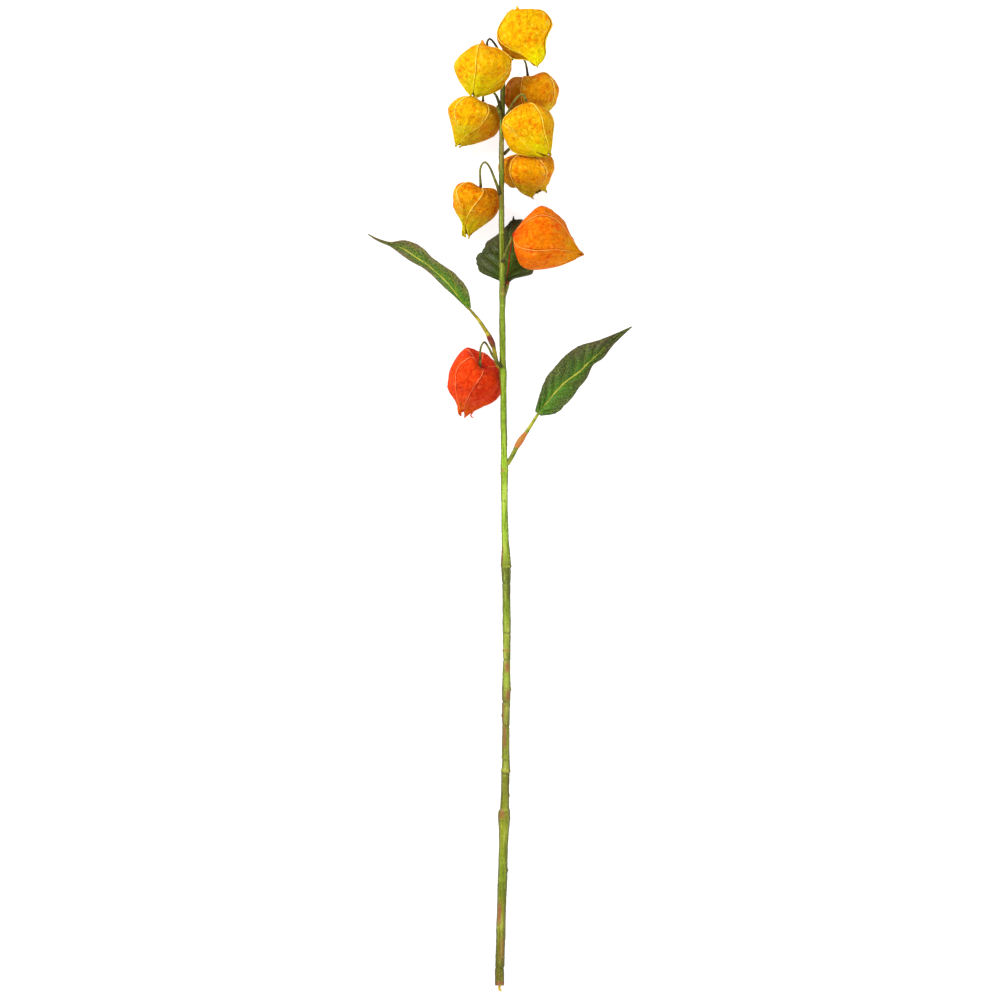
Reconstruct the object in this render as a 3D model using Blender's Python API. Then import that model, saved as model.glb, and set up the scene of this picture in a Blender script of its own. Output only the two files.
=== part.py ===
# A cut stem of physalis (Chinese lantern), lying on a table: one long stem, nine papery
# lanterns on thin stalks, and three leaves. Lengths below are in millimetres and are turned
# into metres where a mesh is made. +Y runs along the stem to its tip, +Z is up off the table.
import math

import bpy
import bmesh
from mathutils import Vector

metresPerMm = 0.001
leafThickness = 1.2
stemSides = 12
stalkSides = 8
lanternRows = 14
lanternColumns = 6
panelPuff = 0.14

colours = {
    "stem": (0.30, 0.33, 0.10, 1),
    "stalk": (0.42, 0.40, 0.04, 1),
    "gold": (0.90, 0.42, 0.01, 1),
    "orange": (0.95, 0.20, 0.01, 1),
    "red": (0.90, 0.07, 0.02, 1),
    "leaf": (0.07, 0.16, 0.05, 1),
    "wire": (0.70, 0.45, 0.05, 1),
}

# The stem from its cut end to its tip: x, y, height of the centre, radius.
stemRings = [
    (-0.4, -390.0, 3.7, 3.6), (-0.4, -377.0, 4.2, 3.6), (-0.3, -375.6, 4.3, 3.3),
    (0.0, -374.0, 4.3, 3.6), (1.2, -325.0, 6.6, 3.6), (2.8, -276.5, 9.0, 3.6),
    (3.2, -263.0, 9.8, 4.2), (3.3, -255.0, 10.2, 4.8), (3.5, -250.0, 10.5, 4.4),
    (3.8, -247.0, 10.7, 3.3), (4.2, -222.0, 12.2, 3.2), (4.4, -217.0, 12.6, 3.7),
    (4.6, -212.0, 12.9, 3.1), (4.8, -181.0, 15.0, 2.8), (5.2, -146.0, 17.6, 3.2),
    (5.3, -120.0, 19.4, 2.8), (5.4, -96.0, 21.0, 3.2), (4.9, -68.0, 22.8, 3.3),
    (4.8, -56.0, 23.6, 3.9), (4.6, -42.0, 24.4, 3.2), (4.2, -32.0, 25.1, 2.8),
    (3.7, 0.0, 27.2, 2.7), (3.5, 28.0, 28.9, 3.2), (3.3, 36.0, 29.4, 2.5),
    (2.8, 88.0, 32.3, 2.4), (2.5, 102.0, 33.0, 3.1), (2.2, 112.0, 33.5, 2.4),
    (1.8, 152.0, 35.3, 2.4), (1.8, 164.0, 35.8, 2.9), (1.7, 174.0, 36.2, 2.3),
    (1.2, 240.0, 38.0, 2.2), (1.3, 290.0, 38.6, 2.0), (2.0, 322.0, 38.6, 1.9),
    (3.0, 352.0, 38.3, 1.7), (3.2, 357.4, 38.2, 1.3),
]

# The base is the dimple where a lantern's stalk meets it and the tip is its point. Each of
# its five seams runs between them over four points, and the seams go once round it.
lanterns = {
    "lantern_1": {
        "base": (18.4, 386.8, 50), "tip": (29.6, 346.4, 56), "colour": "gold",
        "seams": [
            [(8, 389.2, 54), (-1.6, 374.8, 56), (1.6, 364.4, 55), (17.6, 354.8, 55)],
            [(32, 390.8, 55), (41.2, 380.4, 57), (36, 366, 59), (36, 354.8, 59)],
            [(32.8, 385.2, 46), (36.8, 375.6, 45), (31.2, 363.6, 46), (31.2, 353.2, 52)],
            [(19.2, 385.2, 41), (19.2, 373.2, 38), (20.8, 359.6, 43), (25.6, 351.6, 51)],
            [(6.4, 383.6, 46), (2.4, 370.8, 45), (8.8, 354, 45), (20.8, 351.2, 50)],
        ],
    },
    "lantern_2": {
        "base": (-10.4, 362, 54), "tip": (-21.6, 321.2, 50), "colour": "gold",
        "seams": [
            [(-24, 359.6, 56), (-35.6, 348.4, 57), (-33.6, 337.2, 56), (-26.4, 326, 52)],
            [(-16.8, 361.2, 63), (-18.8, 351.6, 72), (-19.6, 340.4, 70), (-21.2, 329.2, 60)],
            [(0, 358.8, 58), (8.8, 350, 60), (3.2, 338, 58), (-10.4, 326.8, 54)],
            [(-2.4, 353.2, 49), (4, 342, 45.5), (1.6, 330, 45.5), (-9.6, 323.6, 47)],
            [(-17.6, 356.4, 47), (-25.6, 345.2, 43), (-25.6, 334, 45), (-22.4, 325.2, 48)],
        ],
    },
    "lantern_3": {
        "base": (22.4, 338.4, 26), "tip": (26.4, 305.2, 8), "colour": "gold",
        "seams": [
            [(10.4, 338, 24), (4.4, 329.2, 20), (5.6, 316.4, 14), (16, 307.6, 9)],
            [(19.2, 338.8, 33), (17.2, 332.4, 40), (17.2, 321.2, 35), (20.8, 310.8, 20)],
            [(36, 342, 30), (42.4, 333.2, 33), (42.4, 320.4, 28), (36, 310, 14)],
            [(36, 337.2, 14), (44.4, 326.8, 12), (40.8, 315.6, 8), (33.6, 307.6, 6)],
            [(16, 336.4, 8), (11.2, 327.6, 1.5), (13.6, 314.8, 1.5), (20.8, 307.6, 4)],
        ],
    },
    "lantern_4": {
        "base": (-13.6, 318.4, 30), "tip": (-34.4, 283.6, 9), "colour": "gold",
        "seams": [
            [(-29.6, 322, 22), (-39.6, 310, 20), (-37.6, 297.2, 16), (-36, 287.6, 12)],
            [(-24, 322.8, 38), (-34.4, 315.6, 40), (-35.2, 304.4, 36), (-30.8, 291.6, 20)],
            [(-11.2, 317.2, 36), (-9.2, 310, 40), (-16, 299.6, 33), (-28.8, 290.8, 21)],
            [(-3.2, 314, 24), (0.4, 303.6, 18), (-5.6, 292.4, 13), (-20.8, 286, 10)],
            [(-12.8, 313.2, 8), (-12.8, 302, 1), (-20.8, 292.4, 2), (-28.8, 286.8, 6)],
        ],
    },
    "lantern_5": {
        "base": (20.8, 317.6, 47), "tip": (39.2, 274.4, 42), "colour": "gold",
        "seams": [
            [(11.2, 311.6, 50), (2.8, 302, 49), (12.8, 292.4, 50), (24.8, 280.4, 47)],
            [(27.2, 314.8, 54), (32.8, 305.2, 61), (35.2, 293.2, 58), (38.4, 282, 49)],
            [(36, 312.4, 44), (42.4, 302.8, 44), (41.6, 290, 44), (40.8, 281.2, 43)],
            [(25.6, 312.4, 39), (32, 302, 35), (32, 289.2, 37), (36.8, 279.6, 40)],
            [(7.2, 306, 43.5), (5.2, 292.4, 41), (9.6, 279.6, 39), (22.4, 275.2, 39.5)],
        ],
    },
    "lantern_6": {
        "base": (20.8, 278.4, 27), "tip": (29.6, 245.2, 10), "colour": "gold",
        "seams": [
            [(6.4, 274.8, 22), (-0.8, 268.4, 18), (2.4, 258.8, 14), (12, 251.6, 10)],
            [(12, 274, 34), (8.4, 265.2, 37), (9.6, 257.2, 32), (16, 248.4, 18)],
            [(30.4, 273.2, 36), (36.8, 264.4, 38), (36, 257.2, 32), (30.4, 249.2, 19)],
            [(38.4, 276.4, 20), (42.4, 270, 18), (40.4, 260.4, 13), (35.2, 250, 9)],
            [(22.4, 273.2, 6), (22.4, 263.6, 0.5), (24, 254, 3), (27.2, 247.6, 7)],
        ],
    },
    "lantern_7": {
        "base": (-15.2, 250, 33), "tip": (-27.2, 210.8, 9), "colour": "orange",
        "seams": [
            [(-31.2, 252.4, 22), (-36.8, 244.4, 20), (-35.2, 233.2, 16), (-29.6, 222, 11)],
            [(-25.6, 254, 38), (-34, 247.6, 38), (-32, 237.2, 34), (-28.8, 224.4, 20)],
            [(-13.6, 248, 37), (-14.4, 243.6, 42), (-21.6, 234, 36), (-27.2, 224.4, 22)],
            [(-4, 248.4, 27), (-0.4, 238.8, 22), (-4.8, 227.6, 16), (-18.4, 217.2, 11)],
            [(-12.8, 246.8, 10), (-12.8, 234.8, 1), (-19.2, 223.6, 3), (-25.6, 215.6, 7)],
        ],
    },
    "lantern_8": {
        "base": (12.8, 209.2, 41), "tip": (65.6, 196, 36), "colour": "orange",
        "seams": [
            [(15.2, 190.8, 36), (25.6, 184.8, 34), (44, 186.8, 34), (57.6, 191.6, 35)],
            [(13.6, 202.8, 56), (28, 198.8, 63), (44.8, 199.6, 58), (58.4, 198, 44)],
            [(19.2, 220.4, 54), (32, 226.8, 58), (46.4, 222, 52), (59.2, 205.2, 42)],
            [(22.4, 226.8, 34), (34.4, 233.2, 30), (49.6, 222, 28), (57.6, 205.2, 33)],
            [(17.6, 203.6, 24), (28.8, 203.6, 18), (44, 201.2, 21), (57.6, 197.2, 30)],
        ],
    },
    "lantern_9": {
        "base": (-15.8, 106, 36), "tip": (-30.4, 67.6, 8), "colour": "red",
        "seams": [
            [(-27.2, 120.4, 30), (-39.2, 105.2, 22), (-40, 90.8, 15), (-33.6, 75.6, 10)],
            [(-22.4, 114, 43), (-33.6, 105.2, 42), (-35.2, 90.8, 34), (-32.8, 76.4, 17)],
            [(-13.6, 104, 38), (-15.2, 98.8, 44), (-23.2, 86.8, 38), (-28.8, 74.8, 20)],
            [(-1.6, 106, 24), (3.2, 94, 16), (-3.2, 81.2, 12), (-19.2, 73.2, 9)],
            [(-12.8, 118, 18), (-10.4, 102, 2), (-18.4, 84.4, 1), (-27.2, 72.4, 5)],
        ],
    },
}

# A stalk's route runs from the stem to the dimple of its lantern.
stalks = {
    "stalk_1": [(3.3, 358.6, 38.3), (3.2, 368.0, 39.0), (3.0, 382.0, 40.5),
                (5.2, 387.4, 42.0), (8.6, 390.4, 44.5), (13.4, 390.6, 47.5),
                (18.0, 388.4, 49.4)],
    "stalk_2": [(1.0, 352.0, 41.2), (-1.6, 359.6, 45.0), (-5.0, 365.0, 51.0),
                (-8.0, 367.6, 54.5), (-10.0, 365.6, 56.0), (-10.4, 363.8, 56.1)],
    "stalk_3": [(5.8, 348.0, 37.4), (11.0, 353.6, 35.0), (16.8, 354.6, 33.0),
                (20.4, 350.0, 30.5), (22.2, 341.6, 27.4)],
    "stalk_4": [(-0.6, 316.5, 41.6), (-3.4, 323.6, 42.0), (-8.6, 326.4, 39.6),
                (-13.0, 324.6, 35.6), (-13.6, 320.0, 32.2)],
    "stalk_5": [(4.9, 306.5, 41.0), (7.4, 311.6, 43.6), (10.6, 317.0, 47.0),
                (14.4, 321.8, 49.8), (18.4, 323.4, 52.0), (20.4, 320.6, 51.6)],
    "stalk_6": [(4.9, 279.2, 37.2), (9.6, 282.4, 36.0), (15.6, 284.4, 33.4),
                (19.4, 283.6, 30.6), (20.6, 280.9, 28.7)],
    "stalk_7": [(-1.6, 248.4, 41.2), (-4.2, 256.0, 44.0), (-8.2, 265.6, 46.4),
                (-12.4, 269.6, 46.6), (-15.6, 264.0, 44.0), (-15.6, 251.8, 35.4)],
    "stalk_8": [(4.6, 194.6, 40.0), (6.0, 199.6, 41.2), (8.6, 206.6, 42.4),
                (12.2, 212.8, 42.2)],
    "stalk_9": [(-0.6, 110.0, 37.2), (-5.4, 114.6, 40.4), (-9.0, 121.6, 43.0),
                (-12.6, 126.0, 44.4), (-15.6, 120.4, 43.6), (-15.8, 108.8, 39.0)],
}

# A leaf has its midrib's route from the leaf stalk to the tip, and the width of the blade
# on each side of it. The rise tilts a side up out of the plane of the table.
leaves = {
    "leaf_left": {
        "midrib": [(-24.6, 152.8, 30.0), (-32.8, 161.5, 28.5), (-41.8, 173.2, 26.0),
                   (-50.8, 182.0, 23.0), (-59.2, 189.2, 19.5), (-68.0, 195.0, 15.5),
                   (-77.6, 201.5, 11.5), (-88.0, 205.2, 8.0), (-97.6, 208.8, 5.0),
                   (-106.0, 213.6, 2.4)],
        "left": [1, 1.5, 4, 3.8, 4, 4.8, 4.6, 1.6, 1, 0.4],
        "right": [2, 9.6, 9.8, 7.8, 7.2, 9.5, 7.2, 2.2, 1, 0.4],
        "rise": (-0.9, 0.35),
    },
    "leaf_right": {
        "midrib": [(30.4, 69.2, 25.6), (36.0, 76.4, 25.6), (44.8, 86.8, 24.0),
                   (52.8, 94.8, 21.5), (64.0, 102.8, 17.5), (72.0, 110.8, 13.5),
                   (80.0, 118.0, 10.0), (89.6, 127.6, 6.0), (106.0, 139.3, 1.8)],
        "left": [3, 6.8, 12.4, 14.8, 17.6, 16, 11.6, 4.6, 0.4],
        "right": [3, 11.2, 12.8, 12, 7.8, 3.8, 4.8, 3.2, 0.4],
        "rise": (0.25, 0.1),
    },
    "leaf_behind": {
        "midrib": [(5.2, 174.0, 31.0), (5.8, 178.0, 30.0), (6.4, 183.6, 28.0),
                   (7.2, 190.0, 25.0), (8.0, 198.0, 20.5), (9.2, 205.2, 16.0),
                   (10.0, 213.2, 11.5), (11.0, 219.6, 8.0), (12.8, 228.0, 3.4)],
        "left": [2, 16, 24.5, 26.4, 24, 19.6, 10, 6, 0.4],
        "right": [2, 9.6, 19.2, 20, 19.5, 18, 15, 10, 0.4],
        "rise": (0.05, -0.2),
    },
}

# A leaf stalk is a stub on the stem, a swollen sleeve, and a thin end under the blade:
# x, y, height, radius.
leafStalks = {
    "leaf_stalk_left": [(-2.2, 109.0, 32.2, 1.6), (-3.6, 115.0, 32.4, 1.6),
                        (-5.2, 123.2, 32.6, 1.7), (-5.6, 124.2, 32.6, 2.3),
                        (-8.4, 130.4, 32.4, 2.4), (-10.6, 134.2, 32.2, 1.7),
                        (-16.6, 143.4, 31.4, 1.4), (-21.4, 149.2, 30.6, 1.2),
                        (-24.0, 152.1, 30.1, 1.0)],
    "leaf_stalk_right": [(8.7, 33.4, 29.3, 1.9), (10.8, 37.4, 29.2, 1.9),
                         (13.0, 41.8, 28.8, 1.9), (13.8, 43.6, 28.6, 3.0),
                         (17.6, 49.6, 28.0, 3.0), (20.4, 53.2, 27.4, 1.8),
                         (25.4, 60.8, 26.4, 1.4), (29.8, 68.2, 25.6, 1.2)],
    "leaf_stalk_behind": [(2.8, 163.6, 31.2, 1.3), (3.9, 168.4, 31.2, 1.4),
                          (5.0, 173.0, 30.9, 1.1)],
}

sideBud = [(1.2, 305.4, 42.5, 1.4), (-0.2, 309.4, 42.6, 1.6), (-1.6, 313.6, 42.8, 1.5),
           (-2.0, 315.2, 42.8, 0.8)]
wireTip = [(-0.4, -390.4, 3.7, 1.1), (-0.6, -392.4, 3.7, 1.1), (0.8, -394.6, 3.8, 0.9)]

materials = {}


def clearScene():
    for item in list(bpy.data.objects):
        bpy.data.objects.remove(item, do_unlink=True)


def materialFor(name):
    if name not in materials:
        material = bpy.data.materials.new(name)
        material.use_nodes = True
        shader = material.node_tree.nodes["Principled BSDF"]
        shader.inputs["Base Color"].default_value = colours[name]
        shader.inputs["Roughness"].default_value = 0.6
        shader.inputs["Metallic"].default_value = 0
        materials[name] = material
    return materials[name]


def addObject(name, mesh, colour):
    piece = bpy.data.objects.new(name, mesh)
    mesh.materials.append(materialFor(colour))
    mesh.shade_smooth()
    mesh.set_sharp_from_angle(angle=math.radians(35))
    bpy.context.scene.collection.objects.link(piece)
    return piece


def smoothCurve(points, count):
    # count samples, evenly spread over the stretches, of a Catmull-Rom curve
    points = [Vector(point) for point in points]
    ends = [2 * points[0] - points[1]] + points + [2 * points[-1] - points[-2]]
    samples = []
    for index in range(count):
        place = index / (count - 1) * (len(points) - 1)
        start = min(int(place), len(points) - 2)
        t = place - start
        a, b, c, d = ends[start:start + 4]
        samples.append(0.5 * (2 * b + (c - a) * t + (2 * a - 5 * b + 4 * c - d) * t ** 2
                              + (3 * b - a - 3 * c + d) * t ** 3))
    return samples


def tubeMesh(name, centres, radii, sides):
    # Closed tube: one ring across the route at each centre, joined in order.
    mesh = bmesh.new()
    across = Vector((1, 0, 0))
    rings = []
    for index, centre in enumerate(centres):
        before = centres[max(index - 1, 0)]
        after = centres[min(index + 1, len(centres) - 1)]
        ahead = (after - before).normalized()
        across = (across - across.dot(ahead) * ahead).normalized()
        other = ahead.cross(across)
        ring = []
        for side in range(sides):
            angle = 2 * math.pi * side / sides
            offset = across * math.cos(angle) + other * math.sin(angle)
            ring.append(mesh.verts.new((centre + radii[index] * offset) * metresPerMm))
        rings.append(ring)
    for lower, upper in zip(rings, rings[1:]):
        for side in range(sides):
            following = (side + 1) % sides
            mesh.faces.new((lower[side], lower[following], upper[following], upper[side]))
    mesh.faces.new(list(reversed(rings[0])))
    mesh.faces.new(rings[-1])
    return finishMesh(mesh, name)


def finishMesh(mesh, name):
    bmesh.ops.recalc_face_normals(mesh, faces=mesh.faces)
    data = bpy.data.meshes.new(name)
    mesh.to_mesh(data)
    mesh.free()
    return data


def seamPoints(lantern, seam, rows):
    # a seam runs over the shoulder from the dimple at the base to the tip
    return smoothCurve([lantern["base"]] + seam + [lantern["tip"]], rows)


def lanternMesh(name, lantern):
    # Five puffed panels between the seams. A panel bows out by a share of its own width.
    edges = [seamPoints(lantern, seam, lanternRows) for seam in lantern["seams"]]
    axis = (Vector(lantern["tip"]) - Vector(lantern["base"])).normalized()
    rings = []
    for row in range(1, lanternRows - 1):
        corners = [edge[row] for edge in edges]
        middle = sum(corners, Vector()) / len(corners)
        ring = []
        for start, end in zip(corners, corners[1:] + corners[:1]):
            chord = end - start
            outward = (start + end) / 2 - middle
            outward -= outward.project(chord)
            outward = (outward - outward.project(axis)).normalized()
            for column in range(lanternColumns):
                share = column / lanternColumns
                bow = 4 * share * (1 - share)
                ring.append(start.lerp(end, share) + outward * panelPuff * bow * chord.length)
        rings.append(ring)
    mesh = bmesh.new()
    grid = [[mesh.verts.new(point * metresPerMm) for point in ring] for ring in rings]
    first = mesh.verts.new(Vector(lantern["base"]) * metresPerMm)
    last = mesh.verts.new(Vector(lantern["tip"]) * metresPerMm)
    count = len(grid[0])
    for column in range(count):
        following = (column + 1) % count
        mesh.faces.new((first, grid[0][column], grid[0][following]))
        mesh.faces.new((last, grid[-1][following], grid[-1][column]))
        for upper, lower in zip(grid, grid[1:]):
            mesh.faces.new((upper[column], lower[column], lower[following], upper[following]))
    return finishMesh(mesh, name)


def leafMesh(name, leaf, stations=17):
    # A thin closed blade: five points across at each station, on top and underneath.
    route = smoothCurve(leaf["midrib"], stations)
    widths = smoothCurve([(left, right, 0) for left, right in zip(leaf["left"], leaf["right"])],
                         stations)
    top = []
    bottom = []
    mesh = bmesh.new()
    for index, centre in enumerate(route):
        before = route[max(index - 1, 0)]
        after = route[min(index + 1, stations - 1)]
        ahead = (after - before).normalized()
        left = Vector((-ahead.y, ahead.x, 0)).normalized()
        leftWidth = max(widths[index].x, 0.4)
        rightWidth = max(widths[index].y, 0.4)
        offsets = [left * leftWidth, left * leftWidth / 2, left * 0, -left * rightWidth / 2,
                   -left * rightWidth]
        rises = [leaf["rise"][0] * leftWidth, leaf["rise"][0] * leftWidth / 2, 0,
                 leaf["rise"][1] * rightWidth / 2, leaf["rise"][1] * rightWidth]
        half = Vector((0, 0, leafThickness / 2))
        rim = [centre + offset + Vector((0, 0, rise)) for offset, rise in zip(offsets, rises)]
        top.append([mesh.verts.new((point + half) * metresPerMm) for point in rim])
        bottom.append([mesh.verts.new((point - half) * metresPerMm) for point in rim])
    across = len(top[0])
    for index in range(stations - 1):
        for column in range(across - 1):
            for sheet in (top, bottom):
                mesh.faces.new((sheet[index][column], sheet[index + 1][column],
                                sheet[index + 1][column + 1], sheet[index][column + 1]))
        for column in (0, across - 1):
            mesh.faces.new((top[index][column], top[index + 1][column],
                            bottom[index + 1][column], bottom[index][column]))
    for index in (0, stations - 1):
        for column in range(across - 1):
            mesh.faces.new((top[index][column], top[index][column + 1],
                            bottom[index][column + 1], bottom[index][column]))
    return finishMesh(mesh, name)


def ringTube(name, rings, sides, colour):
    centres = [Vector(ring[:3]) for ring in rings]
    return addObject(name, tubeMesh(name, centres, [ring[3] for ring in rings], sides), colour)


def buildStalk(name, route, samples=13):
    centres = smoothCurve(route, samples)
    # wider at the stem, thin along its length, and a little wider again at the lantern
    radii = [1.15 + 0.45 * max(0, 1 - index / 3) ** 2 + 0.2 * max(0, index - samples + 3) / 2
             for index in range(samples)]
    return addObject(name, tubeMesh(name, centres, radii, stalkSides), "stalk")


def buildAll():
    clearScene()
    ringTube("main_stem", stemRings, stemSides, "stem")
    ringTube("side_bud", sideBud, stalkSides, "stalk")
    ringTube("stem_wire", wireTip, stalkSides, "wire")
    for name, route in stalks.items():
        buildStalk(name, route)
    for name, lantern in lanterns.items():
        addObject(name, lanternMesh(name, lantern), lantern["colour"])
    for name, rings in leafStalks.items():
        ringTube(name, rings, stalkSides, "stalk")
    for name, leaf in leaves.items():
        addObject(name, leafMesh(name, leaf), "leaf")


buildAll()
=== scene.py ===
# A cut physalis stem lying on a table: the looks of its stem, stalks, husks and leaves.
# Places and sizes are in millimetres and are turned into metres where a mesh is made.
import math

import bpy
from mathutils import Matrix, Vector, noise


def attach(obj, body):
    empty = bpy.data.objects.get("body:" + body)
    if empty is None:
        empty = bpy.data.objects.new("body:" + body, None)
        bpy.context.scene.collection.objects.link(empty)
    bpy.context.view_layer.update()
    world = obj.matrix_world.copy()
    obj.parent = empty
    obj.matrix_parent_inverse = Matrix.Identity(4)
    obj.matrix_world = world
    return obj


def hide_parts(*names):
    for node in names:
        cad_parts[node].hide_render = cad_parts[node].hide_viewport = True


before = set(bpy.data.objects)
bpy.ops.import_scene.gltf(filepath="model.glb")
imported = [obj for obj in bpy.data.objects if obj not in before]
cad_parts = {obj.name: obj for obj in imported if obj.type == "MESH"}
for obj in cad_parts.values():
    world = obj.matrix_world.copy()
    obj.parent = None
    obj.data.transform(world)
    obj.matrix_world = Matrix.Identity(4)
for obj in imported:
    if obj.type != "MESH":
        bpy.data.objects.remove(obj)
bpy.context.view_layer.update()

metresPerMm = 0.001
print("frame loaded:", len(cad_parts), "nodes")

# The view, the table and the lights, in metres apart from the lens and its sensor.
viewSettings = {
    "lens": 300,             # long lens straight above the stem
    "pictureWidth": 0.8,     # metres across the picture at the stem
    "sensor": 36,
    "stemHeight": 0.032,
    "tableSize": 6,
    "tableDrop": 0.0004,     # keeps the table clear of what rests on it
    "tableColour": (0.45, 0.45, 0.45, 1),
    "tableGlow": 0.8,
    "skyStrength": 0.52,
    # place, size across and power of each light
    "lights": {
        "keyLight": ((-1.2, 1.1, 1.35), 0.6, 38),
        "fillLight": ((0.7, -1.2, 1.4), 1.2, 18),
    },
}


def areaLight(name, place, size, power):
    lamp = bpy.data.lights.new(name, "AREA")
    lamp.shape = "DISK"
    lamp.size = size
    lamp.energy = power
    item = bpy.data.objects.new(name, lamp)
    item.location = place
    item.rotation_euler = (-Vector(place)).to_track_quat("-Z", "Y").to_euler()
    bpy.context.scene.collection.objects.link(item)


def buildStage():
    settings = viewSettings
    scene = bpy.context.scene
    scene.view_settings.view_transform = "Standard"
    scene.view_settings.look = "None"
    lens = bpy.data.cameras.new("overheadCamera")
    lens.lens = settings["lens"]
    lens.sensor_width = settings["sensor"]
    lens.clip_end = 50
    camera = bpy.data.objects.new("overheadCamera", lens)
    distance = settings["pictureWidth"] * settings["lens"] / lens.sensor_width
    camera.location = (0, 0, settings["stemHeight"] + distance)
    scene.collection.objects.link(camera)
    scene.camera = camera

    bpy.ops.mesh.primitive_plane_add(size=settings["tableSize"],
                                     location=(0, 0, -settings["tableDrop"]))
    table = bpy.context.object
    table.name = "table"
    paint = bpy.data.materials.new("tablePaint")
    paint.use_nodes = True
    shader = paint.node_tree.nodes["Principled BSDF"]
    shader.inputs["Base Color"].default_value = settings["tableColour"]
    shader.inputs["Roughness"].default_value = 0.9
    shader.inputs["Specular IOR Level"].default_value = 0.1
    shader.inputs["Emission Color"].default_value = (1, 1, 1, 1)
    shader.inputs["Emission Strength"].default_value = settings["tableGlow"]
    table.data.materials.append(paint)

    world = scene.world or bpy.data.worlds.new("studio")
    scene.world = world
    world.use_nodes = True
    sky = world.node_tree.nodes["Background"]
    sky.inputs["Color"].default_value = (1, 1, 1, 1)
    sky.inputs["Strength"].default_value = settings["skyStrength"]
    for name, (place, size, power) in settings["lights"].items():
        areaLight(name, place, size, power)
    print("stage: camera, table and lights")


def smoothCurve(points, count):
    # a Catmull-Rom curve through the points, sampled evenly over its stretches
    points = [Vector(point) for point in points]
    ends = [2 * points[0] - points[1]] + points + [2 * points[-1] - points[-2]]
    samples = []
    for index in range(count):
        place = index / (count - 1) * (len(points) - 1)
        start = min(int(place), len(points) - 2)
        t = place - start
        a, b, c, d = ends[start:start + 4]
        samples.append(0.5 * (2 * b + (c - a) * t + (2 * a - 5 * b + 4 * c - d) * t ** 2
                              + (3 * b - a - 3 * c + d) * t ** 3))
    return samples


def smoothStep(low, high, value):
    share = min(max((value - low) / (high - low), 0), 1)
    return share * share * (3 - 2 * share)


def between(value, table):
    # straight-line reading of a short list of (place, amount)
    if value <= table[0][0]:
        return table[0][1]
    for (a, low), (b, high) in zip(table, table[1:]):
        if value <= b:
            return low + (high - low) * (value - a) / (b - a)
    return table[-1][1]


def smoothRings(rings, count):
    # rings of x, y, height and radius, as a smooth route of (point, radius)
    points = smoothCurve([ring[:3] for ring in rings], count)
    radii = smoothCurve([(ring[3], 0, 0) for ring in rings], count)
    return [(point, radius.x) for point, radius in zip(points, radii)]


def mappedMesh(name, vertices, faces, places):
    # a mesh whose surface map gives each point's place across and along it
    mesh = bpy.data.meshes.new(name)
    mesh.from_pydata(vertices, [], faces)
    surface = mesh.uv_layers.new(name="surfaceMap")
    for loop in mesh.loops:
        surface.data[loop.index].uv = places[loop.vertex_index]
    return mesh


def linkPiece(name, mesh, material):
    mesh.materials.clear()
    mesh.materials.append(material)
    piece = bpy.data.objects.new(name, mesh)
    bpy.context.scene.collection.objects.link(piece)
    mesh.shade_smooth()
    return piece


def finishPiece(piece, slot, *nodes):
    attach(piece, "root")
    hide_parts(*nodes)


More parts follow.
